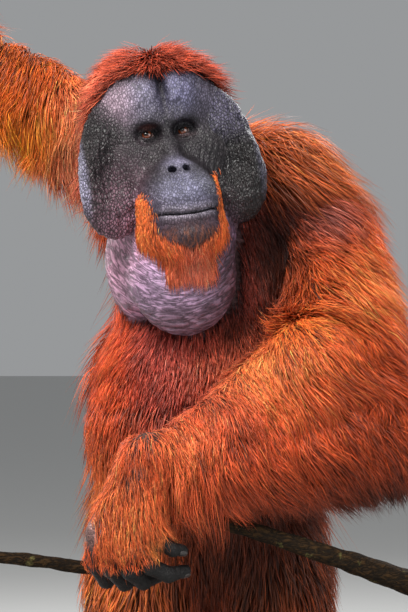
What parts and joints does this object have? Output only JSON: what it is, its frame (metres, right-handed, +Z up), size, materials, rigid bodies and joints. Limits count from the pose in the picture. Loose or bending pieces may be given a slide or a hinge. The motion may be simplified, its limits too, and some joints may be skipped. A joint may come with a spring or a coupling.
{
  "type": "orangutan",
  "caption": "Life-size still model of a standing adult flanged male orangutan, one arm raised to a branch and the other laid across its belly over a lower branch, on a flat stand.",
  "frame": {"origin": "centre of the flat underside of the stand's base", "axes": "+Z up, -Y the way the animal faces, +X the animal's left, which is the right of the picture"},
  "size_m": [1.0259, 0.6617, 1.9364],
  "materials": {
    "coat": "long shaggy red-orange hair, darker and browner in its depth, on the chest and on the lower arm",
    "face_skin": "dark grey pebbled and finely wrinkled bare skin, bluish on the brow, lips and flange rims",
    "throat_skin": "mauve-grey thin skin with curved fine wrinkles",
    "hand_skin": "black creased leathery skin with dark flat nails",
    "eye": "wet glossy eye, orange-brown iris, dark pupil",
    "bark": "dark rough bark with pale lichen spots and pale cut ends",
    "stand": "plain satin dark grey display stand"
  },
  "bodies": {
    "root": {"stand_base": "stand", "stand_rod": "stand", "perch_lower": "bark", "perch_upper": "bark", "head": "face_skin", "eye_left": "eye", "eye_right": "eye", "cheek_flange_left": "face_skin", "cheek_flange_right": "face_skin", "ear_left": "face_skin", "ear_right": "face_skin", "throat_pouch": "throat_skin", "neck": "coat", "chest_and_back": "coat", "belly_and_hips": "coat", "upper_arm_left": "coat", "forearm_left": "coat", "hand_left": "coat", "thumb_left": "hand_skin", "finger_left_1": "hand_skin", "finger_left_2": "hand_skin", "finger_left_3": "hand_skin", "finger_left_4": "hand_skin", "upper_arm_right": "coat", "forearm_right": "coat", "hand_right": "coat", "thumb_right": "hand_skin", "finger_right_1": "hand_skin", "finger_right_2": "hand_skin", "finger_right_3": "hand_skin", "finger_right_4": "hand_skin", "thigh_left": "coat", "shin_left": "coat", "foot_left": "hand_skin", "thigh_right": "coat", "shin_right": "coat", "foot_right": "hand_skin"}
  },
  "joints": []
}
